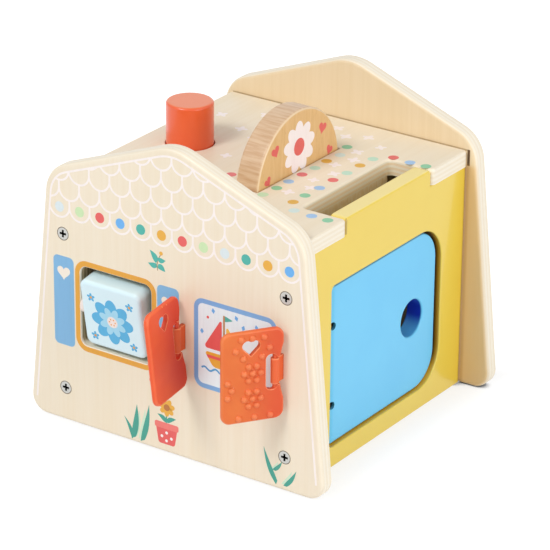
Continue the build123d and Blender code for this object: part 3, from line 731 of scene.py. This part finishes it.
def group_finishes():
    """The materials that groups of nodes share, by the start of their names, first match first."""
    left_hinge_shade = ("DE3C1C", box_mm("left_shutter")[0].y + left_free, leaf_root_y)
    right_hinge_shade = ("DA5022", box_mm("right_shutter")[0].y + right_free, leaf_root_y)
    return [
        (("front_screw", "rear_screw"), steel("gable_screw_steel", rear_high.y)),
        (("cap_screw", "chimney_screw", "yoke_screw"), steel("small_screw_steel")),
        (("set_screw",), blackened("set_screw_black")),
        (("tile_axle_plug", "roof_dowel", "floor_dowel", "door_stop"), plain_wood("dowel_wood")),
        # The strip's pale tones are painted light, raised against the shade under the notch.
        (("slot_strip",), plain_wood("strip_wood", "FFF2DC", "F4DDB8")),
        (("tile_axle", "wheel_axle", "hinge_pin", "chimney_spring"), steel("pin_steel")),
        (("tile_spacer",), plastic("spacer_white", "F6E8E0")),
        (("axle_cap", "chimney_yoke", "chimney_disc"), plastic("inner_grey", "D8D4CC")),
        # The two leaves' tones differ partly as painted light: the right leaf is more orange as
        # lit, the left redder as shaded.
        (("left_shutter",), silicone("left_leaf_silicone", "EE5C2A", "EA5526", left_hinge_shade)),
        (("right_shutter",), silicone("right_leaf_silicone", "E4742F", "E06C2A", right_hinge_shade)),
        (("left_", "right_"), silicone("strap_silicone", "E4602C", "E4602C")),
    ]


def paint_nodes():
    """Gives every CAD node its material."""
    own = board_finishes()
    shared = group_finishes()
    for name, node in nodes.items():
        finish = own.get(name) or next(p for starts, p in shared if name.startswith(starts))
        node.data.materials.clear()
        node.data.materials.append(finish.material)
        for face in node.data.polygons:
            face.material_index = 0


# Soft pieces and the spring, in the place of their CAD nodes
weld = 1e-6


def soft_copy(node, name, body, voxel):
    """A soft moulded piece with rolled edges. voxel is in millimetres."""
    data = nodes[node].data.copy()
    mesh = bmesh.new()
    mesh.from_mesh(data)
    bmesh.ops.remove_doubles(mesh, verts=mesh.verts[:], dist=weld)
    mesh.to_mesh(data)
    mesh.free()
    piece = bpy.data.objects.new(name, data)
    bpy.context.scene.collection.objects.link(piece)
    remesh = piece.modifiers.new("remesh", "REMESH")
    remesh.mode = "VOXEL"
    remesh.voxel_size = voxel * MM
    smooth = piece.modifiers.new("smooth", "SMOOTH")
    smooth.factor = 0.5
    smooth.iterations = 1
    bpy.context.view_layer.update()
    graph = bpy.context.evaluated_depsgraph_get()
    piece.data = bpy.data.meshes.new_from_object(piece.evaluated_get(graph))
    piece.modifiers.clear()
    piece.data.shade_smooth()
    piece.data.materials.clear()
    piece.data.materials.append(nodes[node].data.materials[0])
    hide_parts(node)
    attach(piece, body)


def make_spring():
    """The chimney's spring, copied in place of its CAD node and riding on the house."""
    piece = bpy.data.objects.new("chimney_spring_wire", nodes["chimney_spring"].data.copy())
    bpy.context.scene.collection.objects.link(piece)
    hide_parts("chimney_spring")
    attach(piece, "house")
    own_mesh(piece)


# Front gable: shingles, dots and screws
def border_path():
    """The white line that follows the gable's outline."""
    side = border_inset * math.hypot(1, lean)
    top = apex_z - border_inset * math.hypot(1, roof_slope)
    eave_z = (top - roof_slope * (base_half - side)) / (1 - roof_slope * lean)
    eave_x = base_half - side - lean * eave_z
    low_x = base_half - side - lean * border_low_z
    corners = [(low_x, border_low_z), (eave_x, eave_z), (0, top),
               (-eave_x, eave_z), (-low_x, border_low_z)]
    radii = [0, border_eave_r, border_peak_r, border_eave_r, 0]
    return rounded(corners, radii, closed=False, steps=16)


def inside(point, outline):
    """True for a point inside a closed outline."""
    x, y = point
    hit = False
    for (ax, ay), (bx, by) in zip(outline, outline[1:] + outline[:1]):
        if (ay > y) != (by > y) and x < ax + (y - ay) * (bx - ax) / (by - ay):
            hit = not hit
    return hit


def kept_runs(path, outline):
    """The stretches of a path that lie inside an outline."""
    runs = []
    run = []
    for point in path:
        if inside(point, outline):
            run.append(point)
        else:
            if len(run) > 1:
                runs.append(run)
            run = []
    if len(run) > 1:
        runs.append(run)
    return runs


def draw_shingles(front, white):
    """Staggered rows of round-ended shingles, up to the border line."""
    sheet = Print("front_print_shingles", front, "house")
    border = border_path()
    radius = shingle_pitch / 2
    rise = row_pitch - radius
    parts = 12
    for row in range(shingle_rows):
        mid_z = first_row_z + row_pitch * row
        shift = 0.5 if row % 2 == 0 else 0.0
        level = 3 * (row % 2)
        for column in range(-shingle_columns, shingle_columns + 1):
            mid_x = (column + shift) * shingle_pitch
            bow = arc(mid_x, mid_z, radius, 180, 360, 40)
            upright = [(mid_x - radius, mid_z + rise * i / parts) for i in range(parts + 1)]
            for run in kept_runs(bow, border):
                sheet.line(run, shingle_line_w, white, level + column % 2)
            for run in kept_runs(upright, border):
                sheet.line(run, shingle_line_w, white, level + 2)
    sheet.line(border, border_w, white, 6)
    sheet.finish()


def draw_dots(front, inks):
    """The row of dots under the shingles."""
    sheet = Print("front_print_dots", front, "house")
    order = "pale leaf red blue teal amber red leaf pale teal amber blue".split()
    middle = (len(order) - 1) / 2
    for i, name in enumerate(order):
        sheet.shape(oval((i - middle) * shingle_pitch, dot_row_z, dot_r, dot_r), inks[name])
    sheet.finish()


def draw_screw_rims(front):
    """A thin dark line round each screw's head: painted shade in the gap round it."""
    # Painted shade round the screw heads.
    rim = ink("ink_screw_rim_shade", "6F604A")
    sheet = Print("front_screw_rims", front, "house")
    for name in sorted(n for n in nodes if n.startswith("front_screw")):
        low, high = box_mm(name)
        radius = (high.x - low.x) / 2
        circle = oval((low.x + high.x) / 2, (low.z + high.z) / 2, radius, radius)
        sheet.line(circle, screw_rim_w, rim, closed=True)
    sheet.finish()


# Front gable: windows, picture and garden
def draw_windows(front):
    """The frame round the tile's window and the two printed shutters."""
    sheet = Print("front_print_windows", front, "house")
    x0, x1, z0, z1 = window_box
    edges = []
    for reach in (frame_gap + frame_w, frame_gap):
        edges.append(rounded_rect(x0 - reach, x1 + reach, z0 - reach, z1 + reach, window_r + reach))
    sheet.band(edges[0], edges[1], ink("ink_window_frame", "E5A22C"))
    blue = ink("ink_shutter", "7DB4DD")
    cream = ink("ink_heart", "F6EADB")
    for x0, x1 in (left_shutter_x, right_shutter_x):
        sheet.shape(rounded_rect(x0, x1, shutter_z[0], shutter_z[1], shutter_r), blue)
        sheet.shape(heart((x0 + x1) / 2, shutter_heart_z, shutter_heart_w), cream, 2)
    sheet.finish()


def draw_picture(front, inks):
    """The framed picture behind the right leaf: a small boat on the water."""
    sheet = Print("front_print_picture", front, "house")
    x0, x1, z0, z1 = picture_box
    outer = rounded_rect(x0, x1, z0, z1, picture_r)
    w = picture_line_w
    inner = rounded_rect(x0 + w, x1 - w, z0 + w, z1 - w, picture_r - w)
    sheet.band(outer, inner, ink("ink_picture_frame", "7CB0E4"), 2)
    w *= 0.7
    field = rounded_rect(x0 + w, x1 - w, z0 + w, z1 - w, picture_r - w)
    sheet.shape(field, ink("ink_picture_field", "EAFAFF"))
    draw_boat(sheet, inks)
    left, right, waves = x0 + 5, x1 - 5, 48
    wave = []
    for k in range(waves + 1):
        swell = 0.9 * math.sin(k * math.pi / 4)
        wave.append((left + (right - left) * k / waves, 58.6 + swell))
    sheet.line(wave, 1.1, ink("ink_wave", "4FA7DE"), 3)
    diamond = [(0, 1.7), (-1.2, 0), (0, -1.7), (1.2, 0)]
    for x, z, turn in ((42, 93, 20), (46.5, 88.5, -15), (27, 93.5, 10), (19.6, 80, 0),
                       (55, 91, 15), (60, 84, 0)):
        sheet.shape(moved(diamond, x, z, turn), inks["blue"], 3)
    for x, z in ((43.5, 82), (50, 84.5), (23.5, 89)):
        sheet.shape(oval(x, z, 0.8, 0.8), inks["red"], 3)
    sheet.finish()


def draw_boat(sheet, inks):
    """The boat's hull with its stripe, mast, two sails and pennant."""
    hull = rounded([(21, 69), (49, 69), (44, 60.5), (27, 60.5)], [1.2, 1.2, 4, 4])
    stripe = rounded([(22.4, 67.2), (47.6, 67.2), (47, 65.4), (23.4, 65.4)], [0.4] * 4)
    mast = rounded_rect(33.4, 34.6, 69, 92.5, 0.5)
    main_sail = rounded([(32.6, 71), (32.6, 90.5), (20.5, 71)], [0.8, 0.8, 1.5])
    small_sail = rounded([(35.4, 73), (47, 73), (35.4, 87)], [1.5, 0.8, 0.8])
    pennant = rounded([(34.6, 92.5), (34.6, 89), (40, 90.8)], [0.3] * 3)
    sheet.shape(hull, inks["amber"], 3)
    sheet.shape(stripe, inks["red"], 4)
    sheet.shape(mast, ink("ink_mast", "B98A5A"), 3)
    sheet.shape(main_sail, inks["red"], 4)
    sheet.shape(small_sail, ink("ink_sail", "F3C34F"), 4)
    sheet.shape(pennant, inks["teal"], 4)


def draw_leaves(sheet, leaves):
    """Leaves given by base, tip, width, bow, paint and level."""
    for base, tip, width, bow, paint, level in leaves:
        sheet.shape(leaf(base, tip, width, bow), paint, level)


def draw_sprig(front, inks):
    """The sprig over the left window."""
    teal = inks["teal"]
    sheet = Print("front_print_sprig", front, "house")
    stem = [(-9.5, 107.5), (-9.9, 111), (-9.2, 114), (-7.6, 117)]
    sheet.line(stem, 0.55, ink("ink_stem", "A88B5F"))
    draw_leaves(sheet, [
        ((-9.8, 112.2), (-14.6, 118.4), 3.6, -0.5, teal, 2),
        ((-9.9, 110.2), (-15.8, 110.6), 3.2, 0.5, teal, 3),
        ((-9.5, 110.6), (-4.4, 107.9), 3.4, 0.5, teal, 4),
        ((-9.3, 114), (-4.2, 114.4), 3.0, -0.4, teal, 2),
    ])
    sheet.shape(oval(-7.2, 118, 1.15, 1.15), inks["amber"], 3)
    sheet.finish()


def draw_grass(front, teal):
    """The blades at the gable's foot."""
    pale = ink("ink_grass_pale", "CFE9CF")
    sheet = Print("front_print_grass", front, "house")
    draw_leaves(sheet, [
        ((-27.0, 2.2), (-33.0, 14.5), 2.4, -0.9, teal, 1),
        ((-27.1, 2.2), (-24.3, 24.0), 4.0, -0.8, teal, 2),
        ((-25.6, 3.4), (-22.4, 21.0), 2.8, -0.6, pale, 0),
        ((-21.0, 2.0), (-16.0, 25.8), 3.6, -0.8, teal, 3),
        ((-22.4, 3.4), (-18.6, 22.8), 2.8, -0.6, pale, 1),
        ((69.0, 3.0), (60.0, 23.2), 3.0, 0.9, teal, 2),
        ((67.4, 4.6), (60.8, 19.4), 2.2, 0.7, pale, 0),
        ((66.4, 10.6), (72.0, 17.2), 2.2, -0.6, teal, 3),
        ((65.2, 10.8), (69.6, 16.6), 1.6, -0.5, pale, 1),
        ((73.6, 3.0), (81.2, 14.2), 2.6, -0.8, teal, 2),
        ((72.2, 3.8), (78.6, 13.4), 1.8, -0.6, pale, 0),
    ])
    sheet.finish()


def draw_pot(front, inks, white, teal):
    """The flower in its pot at the gable's foot."""
    sheet = Print("front_print_pot", front, "house")
    pot = rounded([(-9.6, 5.2), (1.2, 5.2), (3.0, 15.4), (-11.4, 15.4)], [1.6, 1.6, 0.6, 0.6])
    sheet.shape(pot, inks["red"])
    sheet.shape(rounded_rect(-12.2, 3.8, 14.4, 18.2, 1.2), ink("ink_rim", "F07A72"), 2)
    for x, z in ((-7.4, 9.6), (-4.2, 12.2), (-1.0, 9.4), (-4.3, 7.4)):
        sheet.shape(oval(x, z, 0.9, 0.9), white, 3)
    sheet.line([(-4.2, 18), (-4.4, 21), (-4.0, 24)], 0.9, teal)
    draw_leaves(sheet, [
        ((-4.4, 19), (-10.4, 22.4), 2.8, -0.6, teal, 2),
        ((-4.2, 19), (2.2, 22.0), 2.8, 0.6, teal, 3),
    ])
    flower(sheet, -4.0, 27.6, 7, 3.3, 1.6, 2.1, inks["amber"], 2, 12, 20)
    sheet.shape(oval(-4.0, 27.6, 2.0, 2.0), ink("ink_flower_heart", "B9722E"), 6)
    sheet.finish()


def flower(sheet, x, y, petals, reach, half_w, half_h, paint, level, start=0.0, steps=24):
    """A ring of oval petals."""
    for k in range(petals):
        turn = 360 / petals * k + start
        px = x + reach * math.cos(math.radians(turn))
        py = y + reach * math.sin(math.radians(turn))
        sheet.shape(oval(px, py, half_h, half_w, turn, steps), paint, level + k % 3)


def draw_front():
    """Everything printed on the front gable."""
    front = face_of((1, 0, 0), (0, 0, 1), (0, -1, 0), (0, gable_low.y, 0))
    white = ink("ink_white", "FBF2EE")
    teal = ink("ink_grass", "3DA08E")
    inks = {
        "pale": ink("ink_pale", "DCE9EC"),
        "leaf": ink("ink_leaf", "CDE8B5"),
        "red": ink("ink_red", "E65D5A"),
        "blue": ink("ink_blue", "68B2F0"),
        "teal": ink("ink_teal", "47B3A6"),
        "amber": ink("ink_amber", "E9AE3A"),
    }
    draw_shingles(front, white)
    draw_dots(front, inks)
    draw_screw_rims(front)
    draw_windows(front)
    draw_picture(front, inks)
    draw_sprig(front, inks)
    draw_grass(front, teal)
    draw_pot(front, inks, white, teal)


# Roof
roof_dots = [
    (-5.6, -27.2, "red"), (24.8, -40.5, "leaf"), (25.5, -28.7, "green"), (25.5, -17.3, "blue"),
    (25.7, -4.7, "red"), (26.2, 7.2, "mint"), (25.6, 19.4, "amber"), (26.7, 31.2, "pale"),
    (23.2, 43.5, "green"), (43.7, -39.7, "amber"), (43.8, -28.5, "green"), (44.2, -15.2, "blue"),
    (43.8, -1.5, "red"), (44.4, 11.4, "mint"), (44.1, 24.7, "amber"), (44.7, 36.8, "mint"),
    (52.6, 45.3, "red"), (64.0, 44.4, "blue"), (74.0, 44.8, "green"), (50.8, -49.1, "pale"),
    (62.5, -49.9, "blue"), (72.6, -49.8, "green"),
]
sparkle_spots = [
    (3.4, 64.7), (13.8, 56.4), (25.0, 62.4), (38.9, 53.6), (32.0, 40.4), (36.9, 29.5),
    (32.4, 17.6), (39.2, 6.3), (35.2, -7.5), (39.7, -17.9), (33.6, -29.6), (-40.6, 32.0),
    (-26.5, 24.0), (-33.0, -34.0), (-24.0, -6.0), (-41.5, 58.0), (-18.0, 60.5), (-62.5, 44.0),
    (-66.0, -38.5),
]


def draw_roof():
    """The coloured dots and small white sparkles on the roof board."""
    flat = face_of((1, 0, 0), (0, 1, 0), (0, 0, 1), (0, 0, roof_high.z))
    inks = {
        "red": ink("roof_red", "E56464"),
        "leaf": ink("roof_leaf", "C6E4BD"),
        "green": ink("roof_green", "84CBA2"),
        "blue": ink("roof_blue", "9CC6EE"),
        "mint": ink("roof_mint", "BDE2CC"),
        "amber": ink("roof_amber", "E2AE3C"),
        "pale": ink("roof_pale", "D3E7E3"),
    }
    white = ink("roof_white", "FBF1EF")
    sheet = Print("roof_print_dots", flat, "house")
    for x, y, name in roof_dots:
        sheet.shape(oval(x, y, dot_r, dot_r), inks[name])
    sheet.finish()
    sheet = Print("roof_print_sparkles", flat, "house")
    draw = random.Random(5)
    for x, y in sparkle_spots:
        sheet.shape(sparkle(x, y, draw.uniform(3.4, 4.1), draw.uniform(0, 90)), white)
    sheet.finish()


# Tile and wheel
def draw_tile():
    """The picture on each broad face of the turning tile."""
    turned = Matrix.Rotation(math.radians(tile_rest_deg), 4, "X")
    tilt = Matrix.Translation(tile_mid * MM) @ turned
    orange = ink("tile_orange", "EFA53C")
    draw_tile_flower(tilt, orange)
    draw_tile_sun(tilt, orange)


def draw_tile_flower(tilt, orange):
    """A large flower with a small one in each corner, on the tile's front."""
    face = tilt @ face_of((1, 0, 0), (0, 0, 1), (0, -1, 0), (0, -tile_t / 2, 0))
    mid_blue = ink("tile_mid_blue", "4FB3E3")
    sheet = Print("tile_print_flower", face, "tile")
    mid_y = -1.5
    flower(sheet, 0, mid_y, 8, 8.2, 4.0, 5.9, mid_blue, 0)
    flower(sheet, 0, mid_y, 8, 5.4, 2.2, 3.7, ink("tile_light", "A5DCF4"), 4, 22.5)
    sheet.shape(oval(0, mid_y, 3.5, 3.5), ink("tile_pinkish", "F9E9E4"), 9)
    for k in range(6):
        turn = math.radians(60 * k)
        seed = oval(1.9 * math.cos(turn), mid_y + 1.9 * math.sin(turn), 0.5, 0.5)
        sheet.shape(seed, orange, 11)
    for x, y in ((-13, 11), (13, 11.5), (-13.2, -13.5), (13, -14)):
        flower(sheet, x, y, 5, 1.5, 0.8, 1.2, mid_blue, 0, 90)
        sheet.shape(oval(x, y, 0.8, 0.8), orange, 4)
    sheet.finish()


def draw_tile_sun(tilt, orange):
    """A plain sun on the tile's back."""
    face = tilt @ face_of((-1, 0, 0), (0, 0, 1), (0, 1, 0), (0, tile_t / 2, 0))
    sheet = Print("tile_print_sun", face, "tile")
    rays = 12
    for k in range(rays):
        sheet.shape(moved(leaf((7.4, 0), (13.5, 0), 2.4), turn=360 / rays * k), orange, k % 2)
    sheet.shape(oval(0, 0, 7.0, 7.0), ink("tile_sun", "F5C652"), 3)
    sheet.finish()


def draw_wheel():
    """A white daisy above and a blue one below, with hearts, on both faces of the wheel."""
    white = ink("wheel_white", "FCF1F1")
    red = ink("wheel_red", "E4605C")
    blue = ink("wheel_blue", "6FB7E6")
    amber = ink("wheel_amber", "EFB14A")
    right = face_of((0, 1, 0), (0, 0, 1), (1, 0, 0), (wheel_high.x, wheel_mid.y, wheel_mid.z))
    left = face_of((0, -1, 0), (0, 0, 1), (-1, 0, 0), (wheel_low.x, wheel_mid.y, wheel_mid.z))
    hearts = ((22.5, 22, 7.4, 18), (29.5, 7, 6.2, 30))
    for name, place in (("wheel_print_right", right), ("wheel_print_left", left)):
        sheet = Print(name, place, "wheel")
        for petal, centre, up in ((white, red, 1), (blue, amber, -1)):
            daisy_z = 18.4 * up
            flower(sheet, 0, daisy_z, 9, 8.6, 4.0, 6.4, petal, 0, 90 * up)
            sheet.shape(oval(0, daisy_z, 5.0, 5.0), centre, 4)
            flip = 180 if up < 0 else 0
            for side in (-1, 1):
                for x, z, width, turn in hearts:
                    sheet.shape(heart(side * x, z * up, width, flip - side * up * turn), centre)
        sheet.finish()


# Room: metres for the floor and the lamps, millimetres for the two reaches
world_strength = 0.54
house_middle = (0.0, 0.0, 0.08)
floor_half = 4.0
floor_drop = 0.0002
shadow_reach = 45.0
contact_reach = 7.0


def seen_rays(tree):
    """1 for the rays that show the background: to the camera, in gloss and through glass."""
    path = tree.nodes.new("ShaderNodeLightPath")
    total = path.outputs["Is Camera Ray"]
    for other in ("Is Glossy Ray", "Is Transmission Ray"):
        larger = tree.nodes.new("ShaderNodeMath")
        larger.operation = "MAXIMUM"
        tree.links.new(total, larger.inputs[0])
        tree.links.new(path.outputs[other], larger.inputs[1])
        total = larger.outputs[0]
    return total


def floor_paint():
    """A pale floor that shows as white, with the shadow, painted shade near the house and a painted
    contact shadow at the rear foot.
    """
    p = Paint("floor_white", 0.7, Specular_IOR_Level=0.1)
    pale = p.mix(p.noise(0.002, 2.0), (0.86, 0.86, 0.87, 1), (0.84, 0.84, 0.85, 1))
    shown = seen_rays(p.tree)
    at = p.place()
    beyond_x = p.math("SUBTRACT", p.math("ABSOLUTE", at[0]), side_high.x)
    beyond_y = p.math("SUBTRACT", p.math("ABSOLUTE", at[1]), rear_high.y)
    away = p.math("MAXIMUM", beyond_x, beyond_y)
    # The glow is lower near the house: painted shade round it.
    level = p.math("ADD", 0.76, p.times(p.step(away, 0.0, shadow_reach), 0.22))
    # Painted contact shadow at the rear foot: where the AO closes in, the floor turns black and its
    # glow goes out.
    near = p.add("ShaderNodeAmbientOcclusion", {"Distance": contact_reach * MM}, samples=8)
    rear = inside_box(p, at, (side_high.x - 1.0, rear_low.y - 5.0, None), (None,) * 3, 1.5)
    closed = p.times(rear, p.fall(near.outputs["AO"], 0.1, 0.6))
    open_floor = p.math("SUBTRACT", 1.0, closed)
    under = p.mix(open_floor, (0.02, 0.02, 0.02, 1), (0.25, 0.25, 0.252, 1))
    p.base(p.mix(shown, pale, under))
    glow = p.add("ShaderNodeEmission", {"Color": (1, 1, 1, 1)})
    p.put(glow.inputs["Strength"], p.times(shown, p.times(level, open_floor)))
    both = p.add("ShaderNodeAddShader")
    p.tree.links.new(p.shader.outputs[0], both.inputs[0])
    p.tree.links.new(glow.outputs[0], both.inputs[1])
    p.tree.links.new(both.outputs[0], p.tree.nodes["Material Output"].inputs["Surface"])
    return p


def make_stage():
    """The floor."""
    half = floor_half
    data = bpy.data.meshes.new("floor")
    corners = [(-half, -half, 0), (half, -half, 0), (half, half, 0), (-half, half, 0)]
    data.from_pydata(corners, [], [(0, 1, 2, 3)])
    data.materials.append(floor_paint().material)
    floor = bpy.data.objects.new("floor", data)
    floor.location.z = -floor_drop
    bpy.context.scene.collection.objects.link(floor)


def make_world(strength):
    """Plain white light from all round, seen as white."""
    world = bpy.data.worlds.new("studio")
    bpy.context.scene.world = world
    world.use_nodes = True
    tree = world.node_tree
    back = tree.nodes["Background"]
    back.inputs["Color"].default_value = (1, 1, 1, 1)
    back.inputs["Strength"].default_value = strength
    white = tree.nodes.new("ShaderNodeBackground")
    white.inputs["Color"].default_value = (1, 1, 1, 1)
    white.inputs["Strength"].default_value = 1.0
    mix = tree.nodes.new("ShaderNodeMixShader")
    tree.links.new(seen_rays(tree), mix.inputs[0])
    tree.links.new(back.outputs[0], mix.inputs[1])
    tree.links.new(white.outputs[0], mix.inputs[2])
    tree.links.new(mix.outputs[0], tree.nodes["World Output"].inputs["Surface"])


def make_lamp(name, spot, aim, size, power):
    """A soft square lamp aimed at a point."""
    data = bpy.data.lights.new(name, "AREA")
    data.size = size
    data.energy = power
    lamp = bpy.data.objects.new(name, data)
    lamp.location = spot
    lamp.rotation_mode = "QUATERNION"
    lamp.rotation_quaternion = (Vector(spot) - Vector(aim)).to_track_quat("Z", "Y")
    bpy.context.scene.collection.objects.link(lamp)


def make_camera():
    """The photograph's viewpoint, found from the house's straight edges."""
    yaw = -0.602692
    pitch = 0.416761
    roll = 0.007894
    focal_px = 3228.048
    image_px = 550
    centre_px = (268.767, 276.892)
    spot = Vector((932.867, -1354.162, 802.111)) * MM
    level = math.cos(pitch)
    ahead = Vector((math.sin(yaw) * level, math.cos(yaw) * level, -math.sin(pitch)))
    right = Vector((math.cos(yaw), -math.sin(yaw), 0))
    up = right.cross(ahead)
    across = right * math.cos(roll) + up * math.sin(roll)
    upward = up * math.cos(roll) - right * math.sin(roll)
    data = bpy.data.cameras.new("camera")
    data.sensor_width = 36
    data.lens = focal_px * data.sensor_width / image_px
    data.shift_x = (image_px / 2 - centre_px[0]) / image_px
    data.shift_y = (centre_px[1] - image_px / 2) / image_px
    data.clip_start = 0.05
    data.clip_end = 20
    camera = bpy.data.objects.new("camera", data)
    turn = Matrix((across, upward, -ahead)).transposed().to_4x4()
    camera.matrix_world = Matrix.Translation(spot) @ turn
    bpy.context.scene.collection.objects.link(camera)
    bpy.context.scene.camera = camera


paint_nodes()
for side in ("left", "right"):
    soft_copy(f"{side}_shutter", f"{side}_shutter_soft", f"{side}_leaf", leaf_voxel)
    soft_copy(f"{side}_strap", f"{side}_strap_soft", "house", strap_voxel)
make_spring()
draw_front()
draw_roof()
draw_tile()
draw_wheel()
make_stage()
make_world(world_strength)
make_lamp("key", (-0.45, -1.75, 2.05), house_middle, size=0.8, power=29)
make_lamp("side_fill", (2.2, -0.35, 0.6), house_middle, size=1.4, power=21)
make_camera()
bpy.context.scene.view_settings.view_transform = "Standard"
